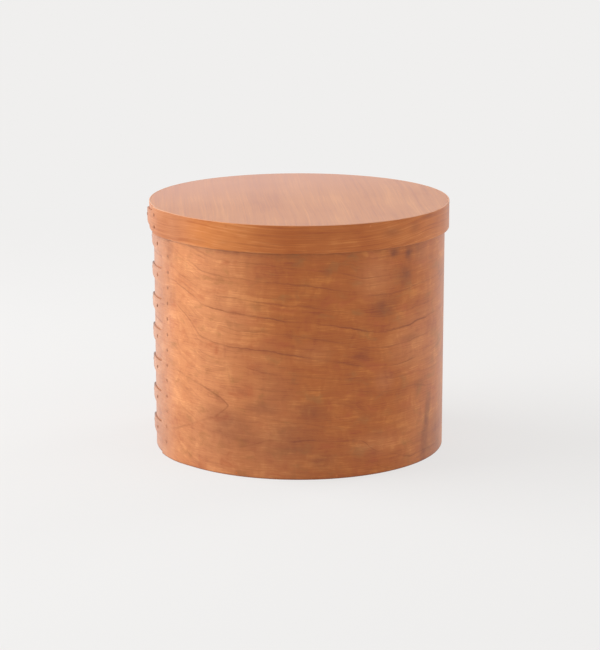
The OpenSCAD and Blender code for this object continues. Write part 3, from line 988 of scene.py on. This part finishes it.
def rowTree():
    sizes = ["Low", "Rise", "Azimuth", "Turn", "Radius", "Proud", "Roll", "Tilt", "Spread"]
    tree, given = newTree("fastenerRow", sizes, {"Count": "Int", "Seed": "Int", "Head": "Object",
                                                 "Shank": "Object", "Finish": "Material"})
    line = addNode(tree, "GeometryNodeMeshLine", {"Count": given["Count"]}).outputs[0]
    index = tree.nodes.new("GeometryNodeInputIndex").outputs[0]
    azimuth = calc("MULTIPLY_ADD", index, given["Turn"], given["Azimuth"])
    height = calc("MULTIPLY_ADD", index, given["Rise"], given["Low"])
    spot = placeRound(given["Radius"], azimuth, height)
    placed = addNode(tree, "GeometryNodeSetPosition", {0: line, "Position": spot}).outputs[0]

    def chance(limit, offset):
        drawn = addNode(tree, "FunctionNodeRandomValue",
                        {"Seed": calc("ADD", given["Seed"], offset), 2: -1.0, 3: 1.0},
                        data_type="FLOAT").outputs[1]
        return calc("MULTIPLY", drawn, limit)

    joined = addNode(tree, "GeometryNodeJoinGeometry")
    for name, depth, roll, offset in (("Head", given["Proud"], math.pi, 0.0),
                                      ("Shank", 1.0, given["Roll"], 10.0)):
        blank = addNode(tree, "GeometryNodeObjectInfo", {"Object": given[name]})
        angles = joinAxes({
            0: chance(roll, offset), 1: chance(given["Tilt"], offset + 1),
            2: calc("ADD", azimuth, chance(given["Tilt"], offset + 2))})
        turned = addNode(tree, "FunctionNodeEulerToRotation", {0: angles}).outputs[0]
        size = calc("ADD", chance(given["Spread"], offset + 3), 1.0)
        copies = addNode(tree, "GeometryNodeInstanceOnPoints",
                         {"Points": placed, "Instance": blank.outputs["Geometry"],
                          "Rotation": turned, "Scale": joinAxes({0: depth, 1: size, 2: size})})
        tree.links.new(copies.outputs[0], joined.inputs[0])
    closeTree(tree, joined.outputs[0], given["Finish"])
    return tree


rower = rowTree()
rows = {
    # from the fingers' tips along the strip
    "bodyRoot": bodyStrip["fingerLength"] + 10.3 * mm,
    "bodyFinger": bodyStrip["fingerLength"] - 13 * mm,
    "bodyTip": 8 * mm,
    "lidRoot": lidStrip["fingerLength"] + 4.6 * mm,
    "lidTip": 9 * mm,
    "lidSpacing": 9.6 * mm,
    "flush": 0.45, "domed": 2.2,       # how proud the heads stand, against the blank
    "bottomPegs": 8, "lidPegs": 6,
}


def tackRow(name, node, strip, length, count, low, rise, seed, lean=True, proud=1.0):
    radius = strip["lapRadius"]
    leanRate = strip["lean"] / (strip["pitch"] * strip["fingers"]) if lean else 0
    middle = strip["lowGap"] + strip["pitch"] * strip["fingers"] / 2
    azimuth = strip["tipAzimuth"] + (length + leanRate * (low - middle)) / radius
    row = grow(name, bpy.data.meshes.new(name + "Start"), rower, {
        "Count": count, "Low": strip["foot"] + low, "Rise": rise, "Azimuth": azimuth,
        "Turn": leanRate * rise / radius, "Radius": radius, "Head": headBlank,
        "Shank": clinchBlank, "Proud": proud, "Roll": tack["roll"], "Tilt": tack["tilt"],
        "Spread": tack["spread"], "Seed": seed, "Finish": copperMaterial})
    settle(row, strip["body"], node)


def pegRow(name, node, strip, count, height, seed):
    pitch = (2 * math.pi - strip["lapAngle"]) / count
    row = grow(name, bpy.data.meshes.new(name + "Start"), rower, {
        "Count": count, "Low": height, "Rise": 0.0,
        "Azimuth": strip["tipAzimuth"] + strip["lapAngle"] + pitch / 2, "Turn": pitch,
        "Radius": strip["plainRadius"], "Head": pegBlank, "Shank": None, "Proud": 1.0, "Roll": 0.0,
        "Tilt": 0.0, "Spread": peg["spread"], "Seed": seed, "Finish": pegMaterial})
    settle(row, strip["body"], node)


fingers, pitch, lowGap = (bodyStrip[name] for name in ("fingers", "pitch", "lowGap"))
tackRow("rootTacks", "body_root_tacks", bodyStrip, rows["bodyRoot"], 2 * fingers,
        lowGap + pitch / 4, pitch / 2, 3, proud=rows["flush"])
tackRow("fingerTacks", "body_finger_tacks", bodyStrip, rows["bodyFinger"], fingers,
        lowGap + pitch / 2, pitch, 5, proud=rows["domed"])
tackRow("tipTacks", "body_tip_tacks", bodyStrip, rows["bodyTip"], fingers,
        lowGap + pitch / 2, pitch, 7, lean=False)
lidMiddle, spacing = lidStrip["height"] / 2, rows["lidSpacing"]
tackRow("lidRootTacks", "lid_root_tacks", lidStrip, rows["lidRoot"], 2,
        lidMiddle - spacing / 2, spacing, 9, proud=rows["domed"])
tackRow("lidTipTack", "lid_tip_tack", lidStrip, rows["lidTip"], 1, lidMiddle, 0.0, 11,
        proud=rows["domed"])
pegRow("bottomPegs", "bottom_pegs", bodyStrip, rows["bottomPegs"], bottomHigh.z / 2, 13)
pegRow("lidPegs", "lid_pegs", lidStrip, rows["lidPegs"], (lidBoardLow.z + lidBoardHigh.z) / 2, 15)
for blank in (headBlank, clinchBlank, pegBlank):
    bpy.data.objects.remove(blank)
print("tacks and pegs driven")


# Floor, light and camera
studio = {
    "floorSize": 14.0,
    "floorColor": tone(240, 239, 238),
    "litColor": tone(219, 218, 217),      # of its shaded share, as the camera sees it
    "seenShare": (0.76, 1.0),      # of the floor's own pale tone in what the camera sees
    "shadowReach": (350, 1100),    # millimetres from the box over which that share grows
    "world": 0.58,             # the sky's light, white
    "mirrored": 0.88,          # the sky as the lacquer mirrors it; the camera sees the floor's tone
    "aim": (0, 0, 0.1),        # of the lamps
    # power, size and place
    "lamps": {"key": (43.0, (1.8, 1.5), (-1.5, 0.08, 0.85)),
              "fill": (13.0, (1.6, 1.4), (1.9, -0.9, 0.7)),
              "rim": (13.0, (0.7, 1.2), (1.5, 1.1, 0.75))},
}


def floorFinish():
    material, tree, place = newFinish("paleFloor")
    path = addNode(tree, "ShaderNodeLightPath").outputs
    seen = highest([path["Is " + ray + " Ray"] for ray in ("Camera", "Glossy", "Transmission")])
    litColor = blendColor(seen, studio["floorColor"], studio["litColor"])
    lit = addNode(tree, "ShaderNodeBsdfDiffuse", {"Color": litColor}).outputs[0]
    plain = addNode(tree, "ShaderNodeEmission", {"Color": studio["floorColor"], "Strength": 1.0})
    away = ramp(lengthOf(place), *studio["shadowReach"], *studio["seenShare"])
    both = addNode(tree, "ShaderNodeMixShader",
                   {0: calc("MULTIPLY", seen, away), 1: lit, 2: plain.outputs[0]})
    addNode(tree, "ShaderNodeOutputMaterial", {"Surface": both.outputs[0]})
    return material


def layFloor():
    half = studio["floorSize"] / 2
    mesh = bpy.data.meshes.new("floor")
    mesh.from_pydata([(-half, -half, 0), (half, -half, 0), (half, half, 0), (-half, half, 0)],
                     [], [(0, 1, 2, 3)])
    mesh.materials.append(floorFinish())
    addObject("floor", mesh)


def hangLamp(name, power, size, place):
    lamp = bpy.data.lights.new(name, "AREA")
    lamp.shape = "RECTANGLE"
    lamp.size, lamp.size_y = size
    lamp.energy = power
    hung = addObject(name, lamp)
    hung.location = place
    hung.rotation_euler = (Vector(studio["aim"]) - Vector(place)).to_track_quat("-Z", "Y").to_euler()
    hung.visible_glossy = False      # the sky alone is mirrored in the flat lid


def spreadSky():
    world = bpy.data.worlds.new("studio")
    scene.world = world
    world.use_nodes = True
    tree = world.node_tree
    tree.nodes.clear()
    path = addNode(tree, "ShaderNodeLightPath").outputs
    level = calc("MULTIPLY_ADD", path["Is Glossy Ray"], studio["mirrored"] - studio["world"],
                 studio["world"])
    color = blendColor(path["Is Camera Ray"], level, studio["floorColor"])
    sky = addNode(tree, "ShaderNodeBackground", {"Color": color, "Strength": 1.0})
    addNode(tree, "ShaderNodeOutputWorld", {"Surface": sky.outputs[0]})


layFloor()
for name, (power, size, place) in studio["lamps"].items():
    hangLamp(name, power, size, place)
spreadSky()
print("light set")

view = {
    "place": (0, -1.8731, 0.5325),
    "down": math.radians(13.129),      # below the level
    "turn": math.radians(-0.017),
    "lens": 131.47, "sensor": 36,      # millimetres
}
lens = bpy.data.cameras.new("camera")
lens.lens = view["lens"]
lens.sensor_width = view["sensor"]
camera = addObject("camera", lens)
camera.location = view["place"]
camera.rotation_euler = (math.radians(90) - view["down"], 0, view["turn"])
scene.camera = camera
scene.view_settings.view_transform = "Standard"
